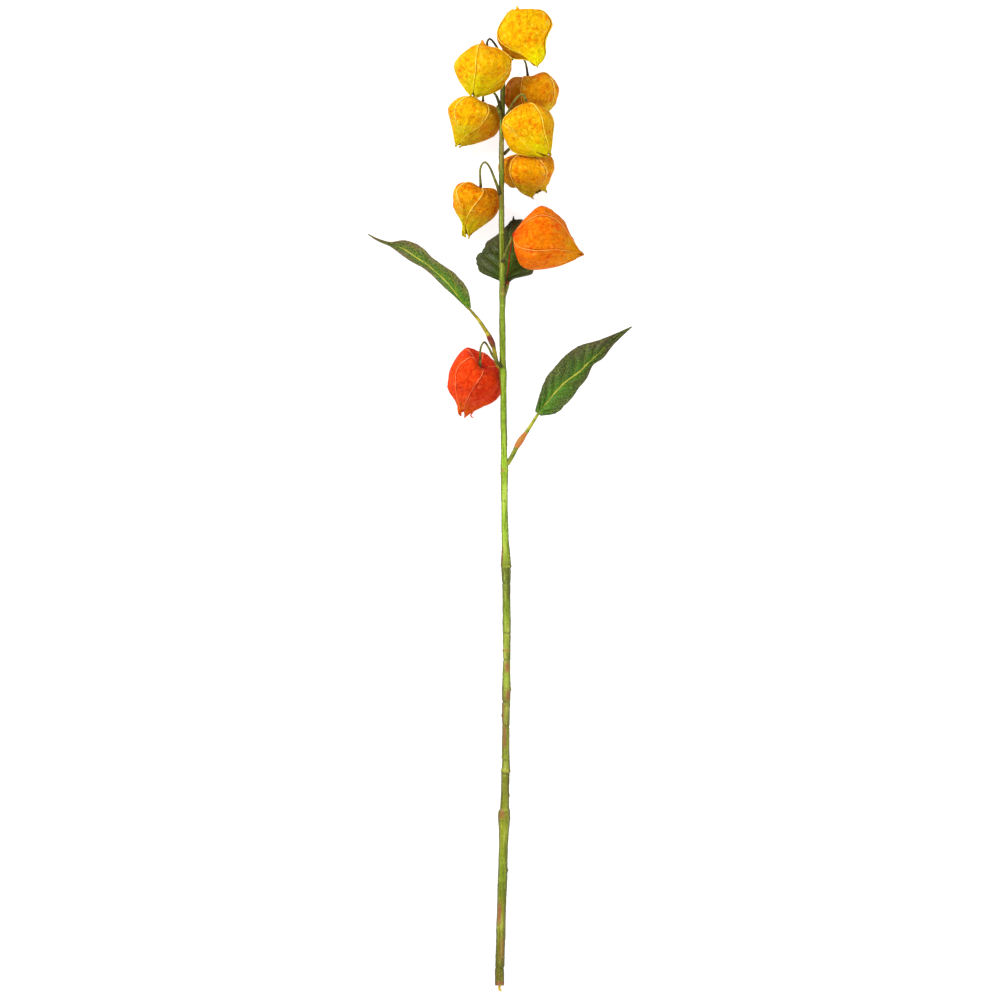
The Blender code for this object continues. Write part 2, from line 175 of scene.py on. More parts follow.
class NodePen:
    # short hand for writing a material's nodes
    def __init__(self, name):
        self.material = bpy.data.materials.new(name)
        self.material.use_nodes = True
        self.tree = self.material.node_tree
        self.shader = self.tree.nodes["Principled BSDF"]

    def node(self, kind, **settings):
        item = self.tree.nodes.new(kind)
        for key, value in settings.items():
            setattr(item, key, value)
        return item

    def put(self, socket, value):
        if hasattr(value, "is_output"):
            self.tree.links.new(value, socket)
        else:
            socket.default_value = value

    def math(self, operation, *values):
        item = self.node("ShaderNodeMath", operation=operation)
        for socket, value in zip(item.inputs, values):
            self.put(socket, value)
        return item.outputs[0]

    def mix(self, share, first, second):
        item = self.node("ShaderNodeMix", data_type="RGBA")
        self.put(item.inputs["Factor"], share)
        self.put(item.inputs["A"], first)
        self.put(item.inputs["B"], second)
        return item.outputs["Result"]

    def noise(self, where, scale, detail=3, roughness=0.5, distortion=0):
        item = self.node("ShaderNodeTexNoise")
        self.put(item.inputs["Vector"], where)
        for key, value in (("Scale", scale), ("Detail", detail), ("Roughness", roughness),
                           ("Distortion", distortion)):
            self.put(item.inputs[key], value)
        return item.outputs["Fac"]

    def span(self, value, low, high, least=0.0, most=1.0):
        item = self.node("ShaderNodeMapRange", interpolation_type="SMOOTHSTEP")
        for key, amount in (("Value", value), ("From Min", low), ("From Max", high),
                            ("To Min", least), ("To Max", most)):
            self.put(item.inputs[key], amount)
        return item.outputs["Result"]

    def ramp(self, value, stops):
        item = self.node("ShaderNodeValToRGB")
        marks = item.color_ramp.elements
        while len(marks) < len(stops):
            marks.new(0.5)
        for mark, (place, colour) in zip(marks, stops):
            mark.position = place
            mark.color = colour
        self.put(item.inputs["Fac"], value)
        return item.outputs["Color"]

    def stretched(self, scale):
        # object coordinates, squeezed or stretched along each axis
        where = self.node("ShaderNodeTexCoord")
        mapping = self.node("ShaderNodeMapping")
        mapping.inputs["Scale"].default_value = scale
        self.tree.links.new(where.outputs["Object"], mapping.inputs["Vector"])
        return mapping.outputs["Vector"]

    def surfacePlace(self):
        where = self.node("ShaderNodeUVMap", uv_map="surfaceMap")
        parts = self.node("ShaderNodeSeparateXYZ")
        self.tree.links.new(where.outputs["UV"], parts.inputs["Vector"])
        return where.outputs["UV"], parts.outputs["X"], parts.outputs["Y"]

    def attribute(self, name):
        return self.node("ShaderNodeAttribute", attribute_name=name).outputs["Fac"]

    def bump(self, height, distance, strength=1.0, under=None):
        item = self.node("ShaderNodeBump")
        self.put(item.inputs["Height"], height)
        item.inputs["Distance"].default_value = distance
        item.inputs["Strength"].default_value = strength
        if under is not None:
            self.put(item.inputs["Normal"], under)
        return item.outputs["Normal"]

    def finish(self, colour, roughness, normal=None):
        self.put(self.shader.inputs["Base Color"], colour)
        self.put(self.shader.inputs["Roughness"], roughness)
        if normal is not None:
            self.put(self.shader.inputs["Normal"], normal)
        return self.material


def shade(red, green, blue):
    # a colour given as it looks on a screen, 0 to 255
    def linear(value):
        value /= 255
        return value / 12.92 if value <= 0.04045 else ((value + 0.055) / 1.055) ** 2.4
    return (linear(red), linear(green), linear(blue), 1)


huskPaints = {
    "gold": {"shoulder": shade(250, 150, 0), "body": shade(255, 198, 0),
             "tip": shade(240, 230, 0), "mottle": shade(242, 126, 0),
             "dark": shade(160, 62, 0), "lip": shade(255, 226, 84)},
    "amber": {"shoulder": shade(244, 126, 0), "body": shade(255, 178, 0),
              "tip": shade(230, 218, 0), "mottle": shade(226, 96, 0),
              "dark": shade(150, 50, 0), "lip": shade(255, 212, 92)},
    "orange": {"shoulder": shade(255, 80, 0), "body": shade(255, 140, 0),
               "tip": shade(255, 172, 0), "mottle": shade(250, 84, 0),
               "dark": shade(206, 44, 0), "lip": shade(255, 168, 60)},
    "red": {"shoulder": shade(236, 48, 8), "body": shade(255, 78, 18),
            "tip": shade(252, 110, 8), "mottle": shade(226, 34, 0),
            "dark": shade(168, 8, 0), "lip": shade(255, 124, 66)},
}


def huskMaterial(name, paint):
    pen = NodePen(name)
    uv, across, along = pen.surfacePlace()
    where = pen.stretched((1, 1, 1))
    drift = pen.noise(where, 55, detail=2)
    place = pen.math("ADD", along, pen.math("MULTIPLY", pen.math("SUBTRACT", drift, 0.5), 0.6))
    colour = pen.ramp(place, [(0.0, paint["shoulder"]), (0.3, paint["body"]),
                              (0.6, paint["body"]), (0.84, paint["tip"])])
    # grainy mottling, heavier in patches and lighter toward the point
    grit = pen.noise(where, 310, detail=7, roughness=0.72)
    patch = pen.span(pen.noise(where, 95, detail=3, distortion=0.5), 0.38, 0.66, 0.25, 1)
    fade = pen.span(along, 0.55, 0.9, 1.0, 0.3)
    amount = pen.math("MULTIPLY", pen.math("MULTIPLY", patch, fade), 0.9)
    colour = pen.mix(pen.math("MULTIPLY", pen.span(grit, 0.44, 0.58), amount),
                     colour, paint["mottle"])
    colour = pen.mix(pen.math("MULTIPLY", pen.span(grit, 0.6, 0.78, 0, 0.8), amount),
                     colour, paint["dark"])
    colour = pen.mix(pen.span(grit, 0.44, 0.3, 0.0, 0.6), colour, paint["lip"])
    # fibres and veins of the papery cloth, running with the husk
    fibreMap = pen.node("ShaderNodeMapping")
    fibreMap.inputs["Scale"].default_value = (26, 4, 1)
    pen.tree.links.new(uv, fibreMap.inputs["Vector"])
    fibre = pen.noise(fibreMap.outputs["Vector"], 3.0, detail=4, roughness=0.6)
    colour = pen.mix(pen.span(fibre, 0.5, 0.72, 0.0, 0.4), colour, paint["mottle"])
    veinMap = pen.node("ShaderNodeMapping")
    veinMap.inputs["Scale"].default_value = (9, 4.5, 1)
    bent = pen.node("ShaderNodeVectorMath", operation="ADD")
    pen.tree.links.new(uv, bent.inputs[0])
    wander = pen.math("MULTIPLY", pen.math("SUBTRACT", drift, 0.5), 0.5)
    pen.put(bent.inputs[1], wander)
    pen.tree.links.new(bent.outputs["Vector"], veinMap.inputs["Vector"])
    net = pen.node("ShaderNodeTexVoronoi", feature="DISTANCE_TO_EDGE")
    pen.put(net.inputs["Vector"], veinMap.outputs["Vector"])
    net.inputs["Scale"].default_value = 1.0
    vein = pen.span(net.outputs["Distance"], 0.07, 0.0)
    colour = pen.mix(pen.math("MULTIPLY", vein, 0.3), colour, paint["mottle"])
    # painted shade: each panel is darkened toward the dark paint by its own amount, for the shade
    # on panels turned from the light
    colour = pen.mix(pen.attribute("panelPaintedShade"), colour, paint["dark"])
    # painted shade in the hollow dimple at the husk's base
    colour = pen.mix(pen.span(along, 0.09, 0.0, 0.0, 0.7), colour, paint["dark"])
    # painted shadow where two panels meet, under their pale lips, and pale wear beside it
    edge = pen.math("MINIMUM", across, pen.math("SUBTRACT", 1.0, across))
    notEnds = pen.span(along, 0.05, 0.2)
    seamShadow = pen.math("MULTIPLY", pen.span(edge, 0.045, 0.015), notEnds)
    colour = pen.mix(pen.math("MULTIPLY", seamShadow, 0.5), colour, paint["dark"])
    worn = pen.math("MULTIPLY", pen.span(edge, 0.16, 0.07),
                    pen.span(pen.noise(where, 240, detail=3), 0.5, 0.66))
    worn = pen.math("MULTIPLY", worn, pen.math("SUBTRACT", 1.0, seamShadow))
    colour = pen.mix(pen.math("MULTIPLY", worn, 0.5), colour, paint["lip"])
    creases = pen.noise(where, 210, detail=4, roughness=0.6, distortion=0.9)
    normal = pen.bump(creases, 0.0042, 0.8)
    normal = pen.bump(fibre, 0.0012, 0.6, normal)
    normal = pen.bump(vein, 0.0004, 0.6, normal)
    normal = pen.bump(grit, 0.0008, 0.8, normal)
    pen.shader.inputs["Specular IOR Level"].default_value = 0.05
    return pen.finish(colour, pen.span(grit, 0.3, 0.7, 0.55, 0.72), normal)


# A husk is five panels of papery cloth, each between two seams.
huskSettings = {
    "rows": 90,
    "columns": 28,
    "wall": 0.35,
    "puff": 0.15,        # how far a panel bows out, as a share of its width
    "bowPower": 2.3,     # a higher power gives a flatter middle and steeper sides
    "lip": 0.5,          # height of the step where one panel's edge lies over the next
    "lipWidth": 0.05,    # how far that step reaches in, as a share of the panel
    "mouth": 2.0,        # radius of the ring of free points at the tip
    "narrowing": 0.93,   # share of its width that a panel loses on the way to its point
    "crease": 1.8,       # depth of the soft folds
    "foldGrain": 0.075,
    "wrinkle": 0.5,      # depth of the small wrinkles
    "wrinkleGrain": (0.26, 0.62),
    "vein": 0.3,         # height of the veins along a panel
    # place across a panel, drift along it, half width and strength of each vein
    "veins": [(0.5, 0, 0.022, 1), (0.26, 0.05, 0.02, 0.6), (0.76, -0.05, 0.02, 0.6)],
    "clearance": 0.5,    # the least height of a husk's outer face
    # where each change comes in, as shares of the way from the dimple to the point
    "loosens": (0.03, 0.16),
    "pulls": (0.7, 1),
    "veinsFade": (0.8, 1),
    "opens": (0.84, 1),
    "narrows": (0.88, 1),
}

# Each husk: dimple, point, and five seams in order round it, each over four points. The
# overlaps say which panel lies on top at each seam: 1 the one after it, -1 the one before.
# The shades are painted shade, darkening a panel turned from the light, from 0 to 1. The point
# shifts draw a panel's point out, and a thread is a thin strand beside a husk, in rings of x, y,
# height and radius.
husks = {
    "lantern_1": {
        "base": (18.4, 386.8, 50), "tip": (29.6, 346.4, 56), "paint": "gold",
        "seams": [
            [(9, 390.4, 55), (-1.6, 374.8, 56), (1.6, 364.4, 55), (17.6, 354.8, 55)],
            [(32, 390.8, 55), (41.2, 380.4, 57), (36, 366, 59), (36, 354.8, 59)],
            [(32.8, 385.2, 46), (36.8, 375.6, 45), (31.2, 363.6, 46), (31.2, 353.2, 52)],
            [(19.2, 385.2, 41), (19.2, 373.2, 38), (20.8, 359.6, 43), (25.6, 351.6, 51)],
            [(6.4, 383.6, 46), (2.4, 370.8, 45), (8.8, 354, 45), (20.8, 351.2, 50)],
        ],
        "overlaps": (1, -1, 1, 1, -1), "paintedShades": (0, 0.2, 0.4, 0.7, 0.68),
        "pointShifts": {0: (0.6, -2.4, 1), 1: (3.4, 4.6, 0)},
        "threads": [[(15.6, 388.4, 54, 2.0), (14, 391.4, 55, 1.5), (13.4, 394.2, 55.4, 0.4)]],
    },
    "lantern_2": {
        "base": (-10.4, 362, 54), "tip": (-21.6, 321.2, 50), "paint": "gold",
        "seams": [
            [(-24, 359.6, 56), (-35.6, 348.4, 57), (-33.6, 337.2, 56), (-26.4, 326, 52)],
            [(-16.2, 363, 62.5), (-18.8, 351.6, 72), (-19.6, 340.4, 70), (-21.2, 329.2, 60)],
            [(0, 358.8, 58), (8.8, 350, 60), (3.2, 338, 58), (-10.4, 326.8, 54)],
            [(-2.4, 353.2, 49), (4, 342, 45.5), (1.6, 330, 45.5), (-9.6, 323.6, 47)],
            [(-17.6, 356.4, 47), (-25.6, 345.2, 43), (-25.6, 334, 45), (-22.4, 325.2, 48)],
        ],
        "overlaps": (1, 1, -1, 1, 1), "paintedShades": (0.0, 0.0, 0.2, 0.5, 0.3),
        "threads": [[(-13.2, 361.4, 59.5, 2.2), (-14, 364.2, 61, 1.6), (-14.5, 366.8, 61.6, 0.4)]],
    },
    "lantern_3": {
        "base": (22.4, 338.4, 26), "tip": (26.4, 305.2, 8), "paint": "amber",
        "seams": [
            [(10.4, 338, 24), (4.4, 329.2, 20), (5.6, 316.4, 14), (16, 307.6, 9)],
            [(19.2, 338.8, 33), (17.2, 332.4, 40), (17.2, 321.2, 35), (20.8, 310.8, 20)],
            [(36, 342, 30), (42.4, 333.2, 33), (42.4, 320.4, 28), (36, 310, 14)],
            [(36, 337.2, 14), (44.4, 326.8, 12), (40.8, 315.6, 8), (33.6, 307.6, 6)],
            [(16, 336.4, 8), (11.2, 327.6, 1.5), (13.6, 314.8, 1.5), (20.8, 307.6, 4)],
        ],
        "overlaps": (1, 1, -1, 1, 1), "paintedShades": (0.45, 0.0, 0.05, 0.4, 0.6),
    },
    "lantern_4": {
        "base": (-13.6, 318.4, 30), "tip": (-34.4, 283.6, 9), "paint": "gold",
        "seams": [
            [(-29.6, 322, 22), (-39.6, 310, 20), (-37.6, 297.2, 16), (-36, 287.6, 12)],
            [(-24, 322.8, 38), (-34.4, 315.6, 40), (-35.2, 304.4, 36), (-30.8, 291.6, 20)],
            [(-11.2, 317.2, 36), (-9.2, 310, 40), (-16, 299.6, 33), (-28.8, 290.8, 21)],
            [(-3.2, 314, 24), (0.4, 303.6, 18), (-5.6, 292.4, 13), (-20.8, 286, 10)],
            [(-12.8, 313.2, 8), (-12.8, 302, 1), (-20.8, 292.4, 2), (-28.8, 286.8, 6)],
        ],
        "overlaps": (1, 1, -1, 1, 1), "paintedShades": (0.05, 0, 0.42, 0.5, 0.4),
    },
    "lantern_5": {
        "base": (20.8, 317.6, 47), "tip": (39.2, 274.4, 42), "paint": "gold", "crease": 1.4,
        "seams": [
            [(11.2, 311.6, 50), (2.8, 302, 49), (12.8, 292.4, 50), (24.8, 280.4, 47)],
            [(27.2, 314.8, 54), (32.8, 305.2, 61), (35.2, 293.2, 58), (38.4, 282, 49)],
            [(36, 312.4, 44), (42.4, 302.8, 44), (41.6, 290, 44), (40.8, 281.2, 43)],
            [(25.6, 312.4, 39), (32, 302, 35), (32, 289.2, 37), (36.8, 279.6, 40)],
            [(7.2, 306, 43.5), (5.2, 292.4, 41), (9.6, 279.6, 39), (22.4, 275.2, 39.5)],
        ],
        "overlaps": (1, -1, 1, 1, 1), "paintedShades": (0, 0.05, 0.3, 0.5, 0.1),
    },
    "lantern_6": {
        "base": (20.8, 278.4, 27), "tip": (29.6, 245.2, 10), "paint": "amber",
        "seams": [
            [(6.4, 274.8, 22), (-0.8, 268.4, 18), (2.4, 258.8, 14), (12, 251.6, 10)],
            [(12, 274, 34), (8.4, 265.2, 37), (9.6, 257.2, 32), (16, 248.4, 18)],
            [(30.4, 273.2, 36), (36.8, 264.4, 38), (36, 257.2, 32), (30.4, 249.2, 19)],
            [(38.4, 276.4, 20), (42.4, 270, 18), (40.4, 260.4, 13), (35.2, 250, 9)],
            [(22.4, 273.2, 6), (22.4, 263.6, 0.5), (24, 254, 3), (27.2, 247.6, 7)],
        ],
        "overlaps": (1, 1, -1, 1, 1), "paintedShades": (0.3, 0.0, 0.05, 0.3, 0.5),
        "pointShifts": {0: (-15, 7, 1), 1: (-2.6, -2.2, 1), 2: (5.6, 1.2, 0)},
    },
    "lantern_7": {
        "base": (-15.2, 250, 33), "tip": (-27.2, 210.8, 9), "paint": "amber", "crease": 2.6,
        "slot": "husk_orange",
        "seams": [
            [(-31.2, 252.4, 22), (-36.8, 244.4, 20), (-35.2, 233.2, 16), (-29.6, 222, 11)],
            [(-25.6, 254, 38), (-34, 247.6, 38), (-32, 237.2, 34), (-28.8, 224.4, 20)],
            [(-13.6, 248, 37), (-14.4, 243.6, 42), (-21.6, 234, 36), (-27.2, 224.4, 22)],
            [(-4, 248.4, 27), (-0.4, 238.8, 22), (-4.8, 227.6, 16), (-18.4, 217.2, 11)],
            [(-12.8, 246.8, 10), (-12.8, 234.8, 1), (-19.2, 223.6, 3), (-25.6, 215.6, 7)],
        ],
        "overlaps": (1, 1, -1, 1, 1), "paintedShades": (0.0, 0, 0.22, 0.6, 0.4),
    },
    "lantern_8": {
        "base": (9.9, 212.4, 42), "tip": (66.8, 196, 36), "paint": "orange", "mouth": 0.1,
        "threads": [[(60, 197.4, 36.6, 1.6), (62.6, 196.6, 36.2, 1.2), (65.6, 195.9, 36, 0.7),
                     (67.4, 196.2, 36, 0.3)]],
        "seams": [
            [(15.2, 190.8, 36), (25.6, 184.8, 34), (44, 186.8, 34), (57.6, 191.6, 35)],
            [(13.6, 202.8, 56), (28, 198.8, 63), (44.8, 199.6, 58), (58.4, 198, 44)],
            [(19.2, 220.4, 54), (32, 226.8, 58), (46.4, 222, 52), (59.2, 205.2, 42)],
            [(22.4, 226.8, 34), (34.4, 233.2, 30), (49.6, 222, 28), (57.6, 205.2, 33)],
            [(17.6, 203.6, 24), (28.8, 203.6, 18), (44, 201.2, 21), (58.4, 197.2, 30)],
        ],
        "overlaps": (1, -1, 1, 1, 1), "paintedShades": (0.1, 0.0, 0.1, 0.4, 0.5),
    },
    "lantern_9": {
        "base": (-15.8, 106, 36), "tip": (-30.4, 67.6, 8), "paint": "red", "crease": 2.4,
        "seams": [
            [(-27.2, 120.4, 30), (-39.2, 105.2, 22), (-40, 90.8, 15), (-33.6, 75.6, 10)],
            [(-22.4, 114, 43), (-33.6, 105.2, 42), (-35.2, 90.8, 34), (-32.8, 76.4, 17)],
            [(-13.6, 104, 38), (-15.2, 98.8, 44), (-23.2, 86.8, 38), (-28.8, 74.8, 20)],
            [(-1.6, 106, 24), (3.2, 94, 16), (-3.2, 81.2, 12), (-19.2, 73.2, 9)],
            [(-12.8, 118, 18), (-10.4, 102, 2), (-18.4, 84.4, 1), (-27.2, 72.4, 5)],
        ],
        "overlaps": (1, 1, -1, 1, 1), "paintedShades": (0.0, 0.0, 0.35, 0.5, 0.45),
        "threads": [[(-23.6, 76, 12, 0.9), (-21.8, 72.4, 11, 0.7), (-22.2, 70, 10, 0.6),
                     (-23.4, 68.2, 9, 0.55), (-22.8, 66.8, 8.5, 0.5), (-21.6, 66, 8, 0.4)]],
    },
}


huskSlots = {"gold": "husk_gold", "amber": "husk_gold", "orange": "husk_orange",
             "red": "husk_red"}


def huskEdges(husk, rows):
    return [smoothCurve([husk["base"]] + seam + [husk["tip"]], rows) for seam in husk["seams"]]


def outwardFrom(middle, start, end, axis):
    chord = end - start
    outward = (start + end) / 2 - middle
    if chord.length > 1e-6:
        outward -= outward.project(chord)
    outward -= outward.project(axis)
    return outward.normalized()


def huskMesh(name, husk, seed):
    settings = huskSettings
    rows = settings["rows"]
    columns = settings["columns"]
    edges = huskEdges(husk, rows)
    axis = (Vector(husk["tip"]) - Vector(husk["base"])).normalized()
    mouth = husk.get("mouth", settings["mouth"])
    crease = husk.get("crease", settings["crease"])
    coarse, small = settings["wrinkleGrain"]
    vertices = []
    faces = []
    places = []
    paintedShades = []
    for panel in range(5):
        following = (panel + 1) % 5
        pull = Vector(husk.get("pointShifts", {}).get(panel, (0, 0, 0)))
        first = len(vertices)
        overStart = husk["overlaps"][panel]
        overEnd = -husk["overlaps"][following]
        for row in range(rows):
            along = row / (rows - 1)
            start = edges[panel][row]
            end = edges[following][row]
            # the dimple and the tip take their direction from the row beside them
            near = [edge[min(max(row, 1), rows - 2)] for edge in edges]
            outward = outwardFrom(sum(near, Vector()) / 5, near[panel], near[following], axis)
            width = (end - start).length
            opening = smoothStep(*settings["opens"], along)
            narrow = 1 - settings["narrowing"] * smoothStep(*settings["narrows"], along)
            loose = smoothStep(*settings["loosens"], along)
            for column in range(columns + 1):
                share = column / columns
                inner = 0.5 + (share - 0.5) * narrow
                bow = 1 - abs(2 * share - 1) ** settings["bowPower"]
                point = start.lerp(end, inner) + outward * settings["puff"] * bow * width
                point += outward * mouth * opening
                point += pull * smoothStep(*settings["pulls"], along)
                # one panel's edge lies over its neighbour's
                step = (overStart * math.exp(-share / settings["lipWidth"])
                        + overEnd * math.exp(-(1 - share) / settings["lipWidth"]))
                point += outward * settings["lip"] * step * loose
                fold = noise.noise(point * settings["foldGrain"]
                                   + Vector((seed, seed * 1.7, panel)))
                fine = noise.noise(Vector((share * 5 + seed, along * 1.6, panel * 3.1)))
                depth = crease * loose * (0.35 + 0.65 * bow)
                wrinkle = noise.noise(point * coarse + Vector((seed, 0, 0)))
                wrinkle += 0.5 * noise.noise(point * small + Vector((0, seed, 0)))
                vein = 0
                for place, drift, half, strength in settings["veins"]:
                    vein += strength * math.exp(-((share - place - drift * along) / half) ** 2)
                relief = depth * (fold + 0.5 * fine)
                relief += settings["wrinkle"] * loose * wrinkle
                relief += (settings["vein"] * loose * vein
                           * (1 - smoothStep(*settings["veinsFade"], along)))
                point += outward * relief
                point.z = max(point.z, settings["clearance"])
                vertices.append(point * metresPerMm)
                places.append((share, along))
                # painted shade for each panel, fading in from the dimple
                paintedShades.append(husk["paintedShades"][panel] * smoothStep(0.04, 0.25, along))
        for row in range(rows - 1):
            for column in range(columns):
                corner = first + row * (columns + 1) + column
                faces.append((corner, corner + columns + 1, corner + columns + 2, corner + 1))
    mesh = mappedMesh(name, vertices, faces, places)
    layer = mesh.attributes.new("panelPaintedShade", "FLOAT", "POINT")
    layer.data.foreach_set("value", paintedShades)
    return mesh


def buildHusks():
    for number, (name, husk) in enumerate(husks.items()):
        material = huskMaterial("husk_" + husk["paint"] + "_" + str(number + 1),
                                huskPaints[husk["paint"]])
        mesh = huskMesh("husk_" + name, husk, 3.7 * number)
        piece = linkPiece("husk_" + str(number + 1), mesh, material)
        wall = piece.modifiers.new("wall", "SOLIDIFY")
        wall.thickness = huskSettings["wall"] * metresPerMm
        wall.offset = -1
        finishPiece(piece, husk.get("slot", huskSlots[husk["paint"]]), name)
    print("husks:", len(husks))


def sweepTree():
    # a path becomes a tube: its points' own radii scale a circle of radius 1
    tree = bpy.data.node_groups.new("sweptPath", "GeometryNodeTree")
    face = tree.interface
    face.new_socket("Geometry", in_out="INPUT", socket_type="NodeSocketGeometry")
    sides = face.new_socket("Sides", in_out="INPUT", socket_type="NodeSocketInt")
    finish = face.new_socket("Finish", in_out="INPUT", socket_type="NodeSocketMaterial")
    face.new_socket("Geometry", in_out="OUTPUT", socket_type="NodeSocketGeometry")
    nodes = tree.nodes
    source = nodes.new("NodeGroupInput")
    parameter = nodes.new("GeometryNodeSplineParameter")
    store = nodes.new("GeometryNodeStoreNamedAttribute")
    store.data_type = "FLOAT"
    store.domain = "POINT"
    store.inputs["Name"].default_value = "pathPlace"
    radius = nodes.new("GeometryNodeInputRadius")
    circle = nodes.new("GeometryNodeCurvePrimitiveCircle")
    circle.inputs["Radius"].default_value = 1.0
    sweep = nodes.new("GeometryNodeCurveToMesh")
    sweep.inputs["Fill Caps"].default_value = True
    smooth = nodes.new("GeometryNodeSetShadeSmooth")
    realize = nodes.new("GeometryNodeRealizeInstances")
    setMaterial = nodes.new("GeometryNodeSetMaterial")
    result = nodes.new("NodeGroupOutput")
    for start, output, end, socket in (
            (source, "Geometry", store, "Geometry"),
            (parameter, "Factor", store, "Value"),
            (source, "Sides", circle, "Resolution"),
            (store, "Geometry", sweep, "Curve"),
            (circle, "Curve", sweep, "Profile Curve"),
            (radius, "Radius", sweep, "Scale"),
            (sweep, "Mesh", smooth, "Geometry"),
            (smooth, "Geometry", realize, "Geometry"),
            (realize, "Geometry", setMaterial, "Geometry"),
            (source, "Finish", setMaterial, "Material"),
            (setMaterial, "Geometry", result, "Geometry")):
        tree.links.new(start.outputs[output], end.inputs[socket])
    return tree, {"sides": sides.identifier, "finish": finish.identifier}


sweptPath, sweptInputs = sweepTree()


def sweptPiece(name, routes, material, sides):
    # routes: lists of (point, radius), in millimetres
    path = bpy.data.curves.new(name + "Path", "CURVE")
    path.dimensions = "3D"
    for route in routes:
        spline = path.splines.new("POLY")
        spline.points.add(len(route) - 1)
        for target, (point, radius) in zip(spline.points, route):
            target.co = (*(Vector(point) * metresPerMm), 1)
            target.radius = radius * metresPerMm
    holder = bpy.data.objects.new(name + "Path", path)
    bpy.context.scene.collection.objects.link(holder)
    sweep = holder.modifiers.new("sweep", "NODES")
    sweep.node_group = sweptPath
    sweep[sweptInputs["sides"]] = sides
    sweep[sweptInputs["finish"]] = material
    evaluated = holder.evaluated_get(bpy.context.evaluated_depsgraph_get())
    mesh = bpy.data.meshes.new_from_object(evaluated)
    bpy.data.objects.remove(holder, do_unlink=True)
    piece = bpy.data.objects.new(name, mesh)
    bpy.context.scene.collection.objects.link(piece)
    return piece


